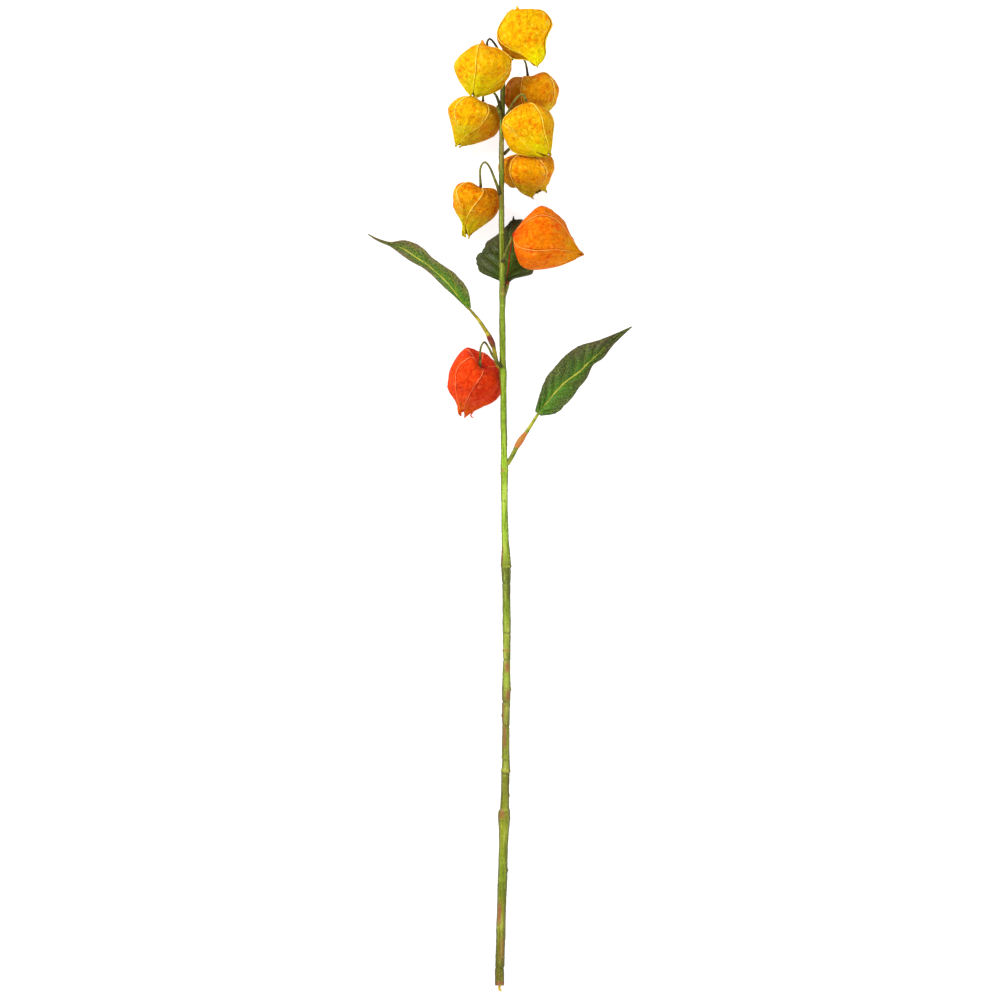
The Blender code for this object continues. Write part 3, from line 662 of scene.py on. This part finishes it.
stemSettings = {
    "sides": 40,
    "spacing": 0.8,          # from ring to ring of the mesh
    "unevenness": 0.26,
    "fuller": 0.2,           # extra radius of the bark on the lower half
    "budWidth": 24,          # degrees round the stem
    # x, y, height over the table and radius, within about half a millimetre of the solid stem
    "rings": [
        (-0.4, -390.0, 3.7, 3.3), (-0.4, -388.6, 3.75, 3.6), (-0.4, -377.2, 4.2, 3.6),
        (-0.3, -375.6, 4.3, 3.25), (0.0, -374.0, 4.3, 3.6), (1.2, -325.0, 6.6, 3.5),
        (2.8, -276.5, 9.0, 3.6), (3.2, -263.0, 9.8, 4.1), (3.3, -257.0, 10.1, 4.7),
        (3.4, -250.0, 10.5, 4.5), (3.8, -247.6, 10.7, 3.3), (4.2, -222.0, 12.2, 3.1),
        (4.4, -217.0, 12.6, 3.6), (4.6, -213.5, 12.9, 3.0), (4.8, -181.0, 15.0, 2.8),
        (5.2, -146.0, 17.6, 3.1), (5.3, -120.0, 19.4, 2.8), (5.4, -96.0, 21.0, 3.1),
        (4.9, -68.5, 22.8, 3.2), (4.8, -56.0, 23.6, 3.6), (4.7, -52.0, 23.9, 4.0),
        (4.6, -40.0, 24.4, 3.2), (4.2, -32.0, 25.1, 2.8), (3.7, 0.0, 27.2, 2.7),
        (3.5, 28.0, 28.9, 3.1), (3.3, 36.0, 29.4, 2.5), (2.8, 88.0, 32.3, 2.4),
        (2.5, 102.0, 33.0, 3.0), (2.2, 112.0, 33.5, 2.4), (1.8, 152.0, 35.3, 2.4),
        (1.8, 164.0, 35.8, 2.8), (1.7, 174.0, 36.2, 2.3), (1.2, 240.0, 38.0, 2.15),
        (1.3, 290.0, 38.6, 2.0), (2.0, 322.0, 38.6, 1.9), (3.0, 352.0, 38.3, 1.7),
        (3.2, 357.2, 38.2, 1.2),
    ],
    # place along the stem, height of the ring (less than 0 is a groove) and its half length
    "nodes": [
        (213.5, 0.25, 0.7), (211.9, -0.2, 0.6), (165.2, 0.25, 0.8), (99.6, 0.3, 0.9),
        (57.2, 0.22, 0.7), (23.9, 0.25, 0.8), (-53.4, 0.45, 0.7), (-54.9, -0.7, 0.7),
        (-67.0, -0.7, 0.7), (-68.2, 0.2, 0.6), (-106.8, -0.65, 0.7), (-105.6, 0.2, 0.7),
        (-120.4, 0.35, 0.8), (-128.4, -0.5, 0.7), (-162.0, -0.65, 0.7), (-163.4, 0.25, 0.8),
        (-181.2, -0.6, 0.7), (-206.8, 0.35, 0.9), (-208.4, -0.45, 0.7), (-217.2, 0.45, 0.8),
        (-219.2, -0.5, 0.7), (-248.6, 0.3, 0.7), (-258.4, -0.35, 0.8), (-305.0, 0.12, 1.2),
        (-343.0, 0.12, 1.0), (-376.0, -0.3, 0.5),
    ],
    # buds: place along the stem, degrees to the right of straight up, height, length
    "buds": [
        (21.0, -55, 0.9, 2.4), (-81.0, -10, 0.6, 1.6), (-151.6, 60, 1.1, 2.2),
        (-172.7, -70, 0.9, 1.8), (-237.2, 65, 0.9, 1.8), (-291.2, 25, 0.8, 2.0),
        (-297.2, 80, 0.7, 1.6), (-304.4, -45, 0.8, 1.8), (130.0, 60, 0.5, 1.4),
        (-120.8, -60, 0.7, 1.4), (-246.0, -60, 0.6, 1.6),
    ],
    # reddish marks: place, degrees, half length, half width in degrees, strength
    "marks": [
        (-45.0, -62, 8.0, 22, 0.9), (-120.4, 0, 1.0, 200, 0.7), (-134.0, 8, 4.4, 40, 0.85),
        (-156.0, 30, 4.0, 28, 0.9), (-170.0, -58, 8.5, 22, 0.8), (-190.0, -25, 9.0, 24, 0.75),
        (-217.0, 0, 1.0, 200, 0.5), (-252.0, -30, 4.0, 34, 0.7), (-332.0, -28, 9.0, 26, 0.9),
        (23.9, -40, 1.4, 40, 0.8), (166.0, 20, 4.0, 40, 0.45), (277.0, 10, 12.0, 50, 0.35),
        (246.0, 0, 6.0, 60, 0.3), (-360.0, 20, 10.0, 40, 0.4), (-388.5, 0, 1.6, 200, 0.8),
    ],
    # colour along the stem, from the cut end to the tip
    "colours": [
        (-395, shade(104, 88, 16)), (-372, shade(98, 100, 6)), (-352, shade(110, 116, 0)),
        (-330, shade(124, 126, 14)), (-300, shade(116, 136, 18)), (-265, shade(142, 150, 24)),
        (-249, shade(124, 132, 19)), (-232, shade(120, 122, 26)), (-208, shade(118, 132, 16)),
        (-180, shade(132, 132, 44)), (-162, shade(142, 148, 51)), (-145, shade(154, 174, 56)),
        (-125, shade(142, 156, 49)), (-105, shade(142, 162, 44)), (-80, shade(122, 150, 26)),
        (-67, shade(96, 116, 16)), (-56, shade(90, 102, 14)), (-48, shade(132, 154, 31)),
        (-25, shade(150, 188, 44)), (0, shade(158, 196, 49)), (40, shade(142, 180, 36)),
        (80, shade(126, 160, 25)), (150, shade(118, 142, 26)), (230, shade(112, 128, 21)),
        (300, shade(100, 116, 13)), (358, shade(84, 96, 5)),
    ],
}


def stemMaterial():
    pen = NodePen("stemSkin")
    where = pen.stretched((1, 1, 1))
    parts = pen.node("ShaderNodeSeparateXYZ")
    pen.put(parts.inputs["Vector"], where)
    table = stemSettings["colours"]
    low, high = table[0][0], table[-1][0]
    place = pen.node("ShaderNodeMapRange")
    for key, value in (("From Min", low * metresPerMm), ("From Max", high * metresPerMm)):
        place.inputs[key].default_value = value
    pen.put(place.inputs["Value"], parts.outputs["Y"])
    colour = pen.ramp(place.outputs["Result"],
                      [((y - low) / (high - low), tint) for y, tint in table])
    streaks = pen.noise(pen.stretched((420, 34, 420)), 1.0, detail=4, roughness=0.6)
    colour = pen.mix(pen.span(streaks, 0.5, 0.72, 0.0, 0.55), colour, shade(200, 206, 96))
    colour = pen.mix(pen.span(streaks, 0.5, 0.3, 0.0, 0.65), colour, shade(66, 74, 0))
    blotch = pen.noise(pen.stretched((160, 60, 160)), 1.0, detail=3)
    colour = pen.mix(pen.span(blotch, 0.54, 0.68, 0.0, 0.5), colour, shade(104, 80, 16))
    speck = pen.noise(where, 620, detail=4, roughness=0.7)
    colour = pen.mix(pen.span(speck, 0.56, 0.68, 0.0, 0.6), colour, shade(72, 66, 4))
    colour = pen.mix(pen.span(speck, 0.42, 0.3, 0.0, 0.6), colour, shade(206, 214, 110))
    ragged = pen.noise(where, 900, detail=3)
    mark = pen.math("MULTIPLY", pen.attribute("redMark"), pen.span(ragged, 0.25, 0.6, 0.35, 1))
    colour = pen.mix(mark, colour, shade(158, 74, 62))
    colour = pen.mix(pen.attribute("groove"), colour, shade(58, 56, 16))
    colour = pen.mix(pen.attribute("ridge"), colour, shade(196, 206, 70))
    # painted shade: the stem's flanks, as seen from above, are darkened as if turned from the
    # light
    paintedFlankShade = pen.math("MULTIPLY", pen.attribute("paintedFlankShade"), pen.span(speck, 0.3, 0.6, 0.4, 0.95))
    colour = pen.mix(paintedFlankShade, colour, shade(76, 66, 16))
    normal = pen.bump(streaks, 0.0012, 0.8)
    normal = pen.bump(speck, 0.0004, 0.7, normal)
    pen.shader.inputs["Specular IOR Level"].default_value = 0.25
    return pen.finish(colour, pen.span(streaks, 0.3, 0.7, 0.38, 0.55), normal)


def angleGap(first, second):
    return abs((first - second + 180) % 360 - 180)


def stemMesh(name):
    settings = stemSettings
    rings = settings["rings"]
    sides = settings["sides"]
    budWidth = settings["budWidth"]
    low, high = rings[0][1], rings[-1][1]
    count = int((high - low) / settings["spacing"]) + 1
    vertices = []
    values = {"redMark": [], "groove": [], "ridge": [], "paintedFlankShade": []}
    tables = [[(ring[1], ring[part]) for ring in rings] for part in (0, 2, 3)]
    wobble = [0.6 * noise.noise(Vector((math.sin(side * math.tau / sides) * 1.2, side * 0.11,
                                        math.cos(side * math.tau / sides) * 1.2)))
              for side in range(sides)]
    for index in range(count):
        y = low + (high - low) * index / (count - 1)
        x, z, radius = [between(y, table) for table in tables]
        for side in range(sides):
            degrees = 360 * side / sides
            turn = math.radians(degrees)
            outward = Vector((math.sin(turn), 0, math.cos(turn)))
            swell = 0
            groove = 0
            ridge = 0
            for number, (place, height, half) in enumerate(settings["nodes"]):
                # each ring leans a little its own way and is stronger on one side
                lean = 0.5 * math.sin(turn + number * 2.1) + wobble[side]
                strength = 0.65 + 0.35 * math.cos(turn - number * 1.3)
                near = math.exp(-((y - place - lean) / half) ** 2) * strength
                swell += height * near
                if height < 0:
                    groove = max(groove, near * min(1, -height * 2.6))
                else:
                    ridge = max(ridge, near * min(1, height * 2))
            for place, around, height, length in settings["buds"]:
                close = ((y - place) / length) ** 2 + (angleGap(degrees, around) / budWidth) ** 2
                swell += height * math.exp(-close * 1.4)
            grain = noise.noise(Vector((outward.x * 1.6, y * 0.045, outward.z * 1.6)))
            grain += 0.35 * noise.noise(Vector((outward.x * 2.4, y * 0.4, outward.z * 2.4)))
            swell += settings["unevenness"] * grain * 2
            red = 0
            for place, around, half, spread, strength in settings["marks"]:
                inside = (abs(y - place) / half) ** 4
                inside += (angleGap(degrees, around) / spread) ** 4
                red = max(red, strength * math.exp(-inside))
            fuller = settings["fuller"] * smoothStep(0, -50, y)
            vertices.append((Vector((x, y, z)) + outward * (radius + swell + fuller))
                            * metresPerMm)
            values["redMark"].append(red)
            values["groove"].append(groove * 0.85)
            values["ridge"].append(ridge * 0.7)
            # painted shade on the flanks, as seen from above
            values["paintedFlankShade"].append(smoothStep(0.5, 0.95, abs(outward.x)))
    faces = []
    for index in range(count - 1):
        for side in range(sides):
            following = (side + 1) % sides
            a = index * sides
            faces.append((a + side, a + sides + side, a + sides + following, a + following))
    faces.append(tuple(range(sides)))
    faces.append(tuple(reversed(range((count - 1) * sides, count * sides))))
    mesh = bpy.data.meshes.new(name)
    mesh.from_pydata(vertices, [], faces)
    for key, amounts in values.items():
        layer = mesh.attributes.new(key, "FLOAT", "POINT")
        layer.data.foreach_set("value", amounts)
    return mesh


def buildStem():
    piece = linkPiece("stem", stemMesh("stem"), stemMaterial())
    piece.data.set_sharp_from_angle(angle=math.radians(50))
    finishPiece(piece, "stem_skin", "main_stem")
    print("stem: built")


stalkSettings = {
    "samples": 40,
    "root": 1.55,      # radius where a stalk leaves the stem
    "thin": 0.85,      # along its length
    "flare": 1.3,      # at the husk
    "sides": 14,
    "thickSides": 16,  # of the bud, the wire and the leaf stalks
}

# the routes follow the solid stalks, run on into the stem and into the husks' dimples
stalks = {
    "stalk_1": [(3.2, 357.4, 38.3), (3.2, 368, 39), (3, 382, 40.5), (5.2, 387.4, 42),
                (8.6, 390.4, 44.5), (13.4, 390.6, 47.5), (18, 387.6, 49.6)],
    "stalk_2": [(1.6, 350.4, 40.0), (-1.6, 359.6, 45), (-5, 365, 51), (-8, 367.6, 54.5),
                (-10, 365.6, 56), (-10.4, 362.6, 55.2)],
    "stalk_3": [(4.4, 346.6, 38), (11, 353.6, 35), (16.8, 354.6, 33), (20.4, 350, 30.5),
                (22.3, 339.6, 27)],
    "stalk_4": [(0.8, 312.5, 40), (-3.4, 323.6, 42), (-8.6, 326.4, 39.6),
                (-13, 324.6, 35.6), (-13.6, 319.2, 31.6)],
    "stalk_5": [(3.2, 303.5, 39.8), (7.4, 311.6, 43.6), (10.6, 317, 47), (14.4, 321.8, 49.8),
                (18.4, 323.4, 52), (20.8, 318.6, 49)],
    "stalk_6": [(3.0, 276.4, 38), (9.6, 282.4, 36), (15.6, 284.4, 33.4), (19.4, 283.6, 30.6),
                (20.7, 279.4, 27.6)],
    "stalk_7": [(0.2, 244.4, 39.4), (-4.2, 256, 44), (-8.2, 265.6, 46.4), (-12.4, 269.6, 46.6),
                (-15.8, 264, 44), (-15.4, 250.6, 34)],
    "stalk_8": [(1.8, 190.2, 38.2), (3.2, 194.6, 40.2), (5.4, 199.8, 41.6), (8, 205.4, 42.4),
                (10, 210.6, 42.4)],
    "stalk_9": [(1.0, 106.6, 35.6), (-5.4, 114.6, 40.4), (-9, 121.6, 43), (-12.6, 126, 44.4),
                (-15.6, 120.4, 43.6), (-15.9, 106.8, 37)],
}

sideBud = [(2.2, 303.4, 40.2, 1.2), (1.0, 306.0, 41.8, 1.4), (-0.2, 309.4, 42.6, 1.55),
           (-1.5, 313.2, 42.8, 1.5), (-1.9, 314.6, 42.8, 1.2), (-2.1, 315.4, 42.8, 0.5)]
wireTip = [(-0.3, -389.4, 3.7, 1.1), (-0.6, -392.4, 3.7, 1.15), (0.1, -393.8, 3.8, 1.1),
           (1.0, -394.6, 3.8, 0.8)]


def stalkMaterial(name, light, dark, blush, blushPlace=(2.0, 3.0), rootDark=0.1):
    # places run from 0 to 1 along the tube, so a blush from 2 to 3 is left out
    pen = NodePen(name)
    where = pen.stretched((1, 1, 1))
    along = pen.attribute("pathPlace")
    drift = pen.noise(where, 130, detail=4, roughness=0.6)
    colour = pen.mix(pen.span(drift, 0.35, 0.65), dark, light)
    # darker toward the far end; where a husk's stalk ends in its dimple, this is painted shade
    colour = pen.mix(pen.span(along, 0.9, 1.0, 0.0, 0.75), colour, dark)
    colour = pen.mix(pen.span(along, 0.24, 0.04, 0.0, rootDark), colour, dark)
    inside = pen.math("MULTIPLY",
                      pen.span(along, blushPlace[0] - 0.03, blushPlace[0] + 0.02),
                      pen.span(along, blushPlace[1] + 0.03, blushPlace[1] - 0.02))
    patchy = pen.span(pen.noise(where, 260, detail=2), 0.3, 0.6, 0.35, 1)
    colour = pen.mix(pen.math("MULTIPLY", inside, patchy), colour, blush)
    grain = pen.noise(where, 900, detail=3)
    normal = pen.bump(drift, 0.0005, 0.5)
    normal = pen.bump(grain, 0.0002, 0.5, normal)
    pen.shader.inputs["Specular IOR Level"].default_value = 0.25
    return pen.finish(colour, pen.span(grain, 0.3, 0.7, 0.4, 0.58), normal)


def buildStalks():
    settings = stalkSettings
    skin = stalkMaterial("stalkSkin", shade(122, 122, 34), shade(56, 50, 12),
                         shade(120, 60, 40), rootDark=0.85)
    samples = settings["samples"]
    for name, route in stalks.items():
        routed = []
        for index, point in enumerate(smoothCurve(route, samples)):
            share = index / (samples - 1)
            radius = settings["thin"]
            radius += (settings["root"] - settings["thin"]) * (1 - share) ** 5
            radius += (settings["flare"] - settings["thin"]) * share ** 14
            radius += 0.07 * noise.noise(point * 0.4)
            routed.append((point, radius))
        piece = sweptPiece(name + "_skin", [routed], skin, settings["sides"])
        finishPiece(piece, "stalk_skin", name)
    bud = sweptPiece("bud", [[(ring[:3], ring[3]) for ring in sideBud]], skin,
                     settings["thickSides"])
    finishPiece(bud, "stalk_skin", "side_bud")
    brass = stalkMaterial("wireMetal", shade(226, 190, 70), shade(150, 104, 20),
                          shade(120, 60, 40))
    brass.node_tree.nodes["Principled BSDF"].inputs["Metallic"].default_value = 0.5
    wire = sweptPiece("wire", [[(ring[:3], ring[3]) for ring in wireTip]], brass,
                      settings["thickSides"])
    finishPiece(wire, "wire_metal", "stem_wire")
    print("stalks:", len(stalks), "and the bud and wire")


leafStalks = {
    "leaf_stalk_left": {
        "rings": [(0.6, 105.4, 32.8, 1.9), (-2.2, 109, 32.2, 1.7), (-3.6, 115, 32.4, 1.65),
                  (-5.2, 122.8, 32.6, 1.75), (-5.6, 124, 32.6, 2.25), (-7.2, 127.6, 32.5, 2.4),
                  (-8.8, 131, 32.4, 2.2), (-10.8, 134.6, 32.2, 1.7), (-16.6, 143.4, 31.4, 1.4),
                  (-21.4, 149.2, 30.6, 1.2), (-25.4, 153.8, 29.8, 0.9)],
        "light": shade(176, 160, 40), "dark": shade(104, 96, 20), "blush": shade(116, 26, 34),
        "place": (0.33, 0.5), "slot": "stalk_skin",
    },
    "leaf_stalk_right": {
        "rings": [(5.8, 28.6, 29.2, 1.9), (8.7, 33.4, 29.3, 1.9), (10.8, 37.4, 29.2, 1.9),
                  (12.9, 41.6, 28.8, 2.0), (13.7, 43.2, 28.6, 2.3), (15.4, 46, 28.4, 2.6),
                  (17.4, 49, 28.1, 2.5), (19.2, 51.6, 27.7, 2.0), (20.6, 53.4, 27.4, 1.7),
                  (25.4, 60.8, 26.4, 1.35), (31.0, 69.8, 25.6, 1.1)],
        "light": shade(172, 170, 44), "dark": shade(98, 112, 20), "blush": shade(196, 110, 50),
        "place": (0.31, 0.6), "slot": "sleeve_orange",
    },
    "leaf_stalk_behind": {
        "rings": [(2.8, 160, 35, 1.2), (4, 165, 34.4, 1.5), (5.2, 170, 33.6, 1.8),
                  (5.8, 173.4, 32.6, 1.9), (6, 174.8, 32.2, 1.2)],
        "light": shade(120, 130, 44), "dark": shade(76, 84, 22), "blush": shade(140, 40, 34),
        "place": (0.8, 1.1), "slot": "stalk_skin",
    },
}

# A leaf's midrib runs from its stalk to its tip. The widths are the blade's two sides, the
# rise tilts each side, and veins is how many side veins leave the midrib on each side.
leaves = {
    "leaf_left": {
        "midrib": [(-24.6, 152.8, 30), (-32.8, 161.5, 28.5), (-41.8, 173.2, 26),
                   (-50.8, 182, 23), (-59.2, 189.2, 19.5), (-68, 195, 15.5),
                   (-77.6, 201.5, 11.5), (-88, 205.2, 8), (-97.6, 208.8, 5),
                   (-106, 213.6, 2.6)],
        "left": [1, 1.5, 4, 3.8, 4, 4.8, 4.6, 1.6, 1, 0.4],
        "right": [2, 9.6, 9.8, 7.8, 7.2, 9.5, 7.2, 2.2, 1, 0.4],
        "rise": (-0.9, 0.35), "veins": 8, "slant": 1.4, "quilt": 1.5, "wave": 1.2, "rib": 0.06,
        "slot": "leaf_green",
    },
    "leaf_right": {
        "midrib": [(30.4, 69.2, 25.6), (36, 76.4, 25.6), (44.8, 86.8, 24), (52.8, 94.8, 21.5),
                   (64, 102.8, 17.5), (72, 110.8, 13.5), (80, 118, 10), (89.6, 127.6, 6),
                   (106, 139.3, 1.9)],
        "left": [3, 6.8, 12.4, 14.8, 17.6, 16, 11.6, 4.6, 0.4],
        "right": [3, 11.2, 12.8, 12, 7.8, 3.8, 4.8, 3.2, 0.4],
        "rise": (0.25, 0.1), "veins": 9, "slant": 1.7, "quilt": 2.0, "wave": 1.3, "rib": 0.05,
        "slot": "leaf_green",
    },
    "leaf_behind": {
        "midrib": [(4.8, 173.6, 31), (5.6, 178, 30), (6.4, 183.6, 28), (7.2, 190, 25),
                   (7.8, 196, 21.5), (8, 198.6, 20.5), (9.2, 205.2, 16), (10, 213.2, 11.5),
                   (10.8, 219.6, 8), (11, 223.8, 6), (10.9, 225.2, 5.2), (10.9, 228, 3.6)],
        "left": [3, 20, 24.5, 26.4, 24.6, 21, 19.2, 10.6, 5.6, 2.6, 1.2, 0.4],
        "right": [2, 6, 19.2, 20, 19.5, 19, 18, 15, 13, 10, 1.4, 0.4],
        "rise": (0.05, -0.2), "veins": 7, "slant": 1.8, "quilt": 2.2, "wave": 1.6, "rib": 0.022,
        "slot": "leaf_dark",
    },
}

leafSettings = {
    "stations": 110,
    "half": 22,              # columns on each side of the midrib
    "thickness": 0.5,
    "leastWidth": 0.35,
    "raggedness": 0.035,
    "ribDrop": 0.5,          # depth of the groove over the midrib
    "clearance": 0.6,        # the least height of a blade's middle surface
    "stalkSamples": 60,
}

leafPaints = {
    "leaf_left": {"base": shade(50, 112, 10), "middle": shade(56, 84, 24),
                  "margin": shade(92, 70, 50), "vein": shade(188, 190, 60),
                  "rib": shade(200, 190, 70)},
    "leaf_right": {"base": shade(62, 118, 16), "middle": shade(54, 82, 26),
                   "margin": shade(76, 66, 48), "vein": shade(160, 176, 60),
                   "rib": shade(190, 188, 70)},
    "leaf_behind": {"base": shade(60, 90, 12), "middle": shade(50, 62, 26),
                    "margin": shade(66, 66, 48), "vein": shade(124, 140, 48),
                    "rib": shade(150, 36, 20)},
}


def leafMaterial(name, leaf, paint):
    pen = NodePen(name)
    across, along = pen.surfacePlace()[1:]
    where = pen.stretched((1, 1, 1))
    side = pen.math("ABSOLUTE", pen.math("SUBTRACT", pen.math("MULTIPLY", across, 2), 1))
    drift = pen.math("SUBTRACT", pen.noise(where, 60, detail=4), 0.5)
    outer = pen.math("ADD", pen.math("ADD", pen.math("MULTIPLY", side, 0.6),
                                     pen.math("MULTIPLY", along, 0.55)),
                     pen.math("MULTIPLY", drift, 0.9))
    colour = pen.ramp(outer, [(0.12, paint["base"]), (0.5, paint["middle"]),
                              (0.92, paint["margin"])])
    mottle = pen.noise(where, 300, detail=5, roughness=0.65)
    colour = pen.mix(pen.span(mottle, 0.5, 0.75, 0.0, 0.4), colour, paint["margin"])
    colour = pen.mix(pen.span(mottle, 0.45, 0.25, 0.0, 0.45), colour, paint["base"])
    # side veins run out and forward from the midrib, as the quilting of the blade does
    phase = pen.math("SUBTRACT", pen.math("MULTIPLY", along, leaf["veins"]),
                     pen.math("MULTIPLY", side, leaf["slant"]))
    saw = pen.math("ABSOLUTE", pen.math("SUBTRACT", pen.math("FRACT", phase), 0.5))
    vein = pen.span(saw, 0.42, 0.5)
    vein = pen.math("MULTIPLY", vein, pen.span(side, 0.95, 0.5, 0.15, 0.85))
    rib = pen.span(side, leaf["rib"] * 1.5, leaf["rib"] * 0.6)
    net = pen.node("ShaderNodeTexVoronoi", feature="DISTANCE_TO_EDGE")
    pen.put(net.inputs["Vector"], where)
    net.inputs["Scale"].default_value = 420
    netLine = pen.span(net.outputs["Distance"], 0.10, 0.0, 0.0, 0.3)
    colour = pen.mix(netLine, colour, paint["vein"])
    colour = pen.mix(pen.math("MULTIPLY", vein, 0.75), colour, paint["vein"])
    colour = pen.mix(rib, colour, paint["rib"])
    lines = pen.math("MAXIMUM", pen.math("MULTIPLY", vein, 0.8), rib)
    normal = pen.bump(lines, 0.001, 0.9)
    normal = pen.bump(net.outputs["Distance"], 0.0008, 0.4, normal)
    normal = pen.bump(mottle, 0.0005, 0.5, normal)
    pen.shader.inputs["Specular IOR Level"].default_value = 0.2
    return pen.finish(colour, pen.span(mottle, 0.3, 0.7, 0.38, 0.55), normal)


def leafMesh(name, leaf):
    settings = leafSettings
    stations = settings["stations"]
    half = settings["half"]
    route = smoothCurve(leaf["midrib"], stations)
    widths = smoothCurve([(left, right, 0) for left, right in zip(leaf["left"], leaf["right"])],
                         stations)
    vertices = []
    places = []
    faces = []
    columns = 2 * half + 1
    for index, centre in enumerate(route):
        along = index / (stations - 1)
        before = route[max(index - 1, 0)]
        after = route[min(index + 1, stations - 1)]
        ahead = (after - before).normalized()
        left = Vector((-ahead.y, ahead.x, 0)).normalized()
        fade = smoothStep(0, 0.08, along) * smoothStep(1, 0.85, along)
        for column in range(columns):
            share = (column - half) / half
            side = abs(share)
            part = 0 if share < 0 else 1
            width = max(widths[index][part], settings["leastWidth"])
            edgeNoise = noise.noise(Vector((along * 26, part * 5, 1.3)))
            ragged = 1 + settings["raggedness"] * fade * edgeNoise
            reach = width * side * ragged
            phase = along * leaf["veins"] - side * leaf["slant"]
            quilt = abs(math.sin(math.pi * phase))
            puff = leaf["quilt"] * fade * (quilt - 0.4) * math.sin(math.pi * min(side * 1.1, 1))
            wave = leaf["wave"] * fade * side ** 2 * math.sin(along * 17 + part * 2.2)
            point = centre + left * (reach if share < 0 else -reach)
            drop = settings["ribDrop"] * (1 - side) ** 8 * fade
            point.z += leaf["rise"][part] * reach + puff + wave - drop
            point.z = max(point.z, settings["clearance"])
            vertices.append(point * metresPerMm)
            places.append(((share + 1) / 2, along))
    for index in range(stations - 1):
        for column in range(columns - 1):
            corner = index * columns + column
            faces.append((corner, corner + 1, corner + columns + 1, corner + columns))
    return mappedMesh(name, vertices, faces, places)


def buildLeaves():
    for name, leaf in leaves.items():
        material = leafMaterial(name + "Blade", leaf, leafPaints[name])
        piece = linkPiece(name + "_blade", leafMesh(name, leaf), material)
        body = piece.modifiers.new("body", "SOLIDIFY")
        body.thickness = leafSettings["thickness"] * metresPerMm
        body.offset = 0
        finishPiece(piece, leaf["slot"], name)
    for name, stalk in leafStalks.items():
        material = stalkMaterial(name + "Skin", stalk["light"], stalk["dark"], stalk["blush"],
                                 stalk["place"])
        route = smoothRings(stalk["rings"], leafSettings["stalkSamples"])
        piece = sweptPiece(name + "_skin", [route], material, stalkSettings["thickSides"])
        finishPiece(piece, stalk["slot"], name)
    print("leaves:", len(leaves))


# bright lips along the husks' seams, and the threads at their ends
lipSettings = {
    "radius": 0.38,
    "lift": 0.35,
    "thinnest": 0.12,
    "clearance": 0.1,
    "samples": 60,
    "skipped": (3, 8),       # samples left off at the dimple and at the tip
    "threadSamples": 24,
    "sides": 8,
}


def lipMaterial(name, paint):
    pen = NodePen(name)
    where = pen.stretched((1, 1, 1))
    along = pen.attribute("pathPlace")
    drift = pen.noise(where, 260, detail=4)
    colour = pen.mix(pen.span(along, 0.45, 0.85), paint["lip"], paint["tip"])
    colour = pen.mix(pen.span(drift, 0.42, 0.62), colour, paint["body"])
    grain = pen.noise(where, 1500, detail=2)
    return pen.finish(colour, 0.6, pen.bump(grain, 0.0002, 0.6))


def buildLips():
    settings = lipSettings
    samples = settings["samples"]
    skippedFirst, skippedLast = settings["skipped"]
    for number, husk in enumerate(husks.values()):
        edges = huskEdges(husk, samples)
        mouth = husk.get("mouth", huskSettings["mouth"])
        paint = huskPaints[husk["paint"]]
        routes = []
        for edge in edges:
            route = []
            for index in range(skippedFirst, samples - skippedLast):
                along = index / (samples - 1)
                middle = sum((other[index] for other in edges), Vector()) / 5
                outward = (edge[index] - middle).normalized()
                size = settings["radius"] * smoothStep(0.03, 0.14, along)
                size *= 1 - 0.5 * smoothStep(0.7, 0.95, along)
                size = max(size, settings["thinnest"])
                lift = settings["lift"] + mouth * smoothStep(*huskSettings["opens"], along)
                point = edge[index] + outward * lift
                point.z = max(point.z, size + settings["clearance"])
                route.append((point, size))
            routes.append(route)
        title = "husk_" + str(number + 1)
        pieces = [sweptPiece(title + "_lips", routes,
                             lipMaterial("lip_" + str(number + 1), paint), settings["sides"])]
        threads = [smoothRings(thread, settings["threadSamples"])
                   for thread in husk.get("threads", [])]
        if threads:
            threadSkin = stalkMaterial("point_" + str(number + 1), paint["body"],
                                       paint["mottle"], paint["tip"])
            pieces.append(sweptPiece(title + "_points", threads, threadSkin,
                                     settings["sides"]))
        for piece in pieces:
            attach(piece, "root")
    print("lips: done")


buildStage()
buildStem()
buildStalks()
buildHusks()
buildLips()
buildLeaves()
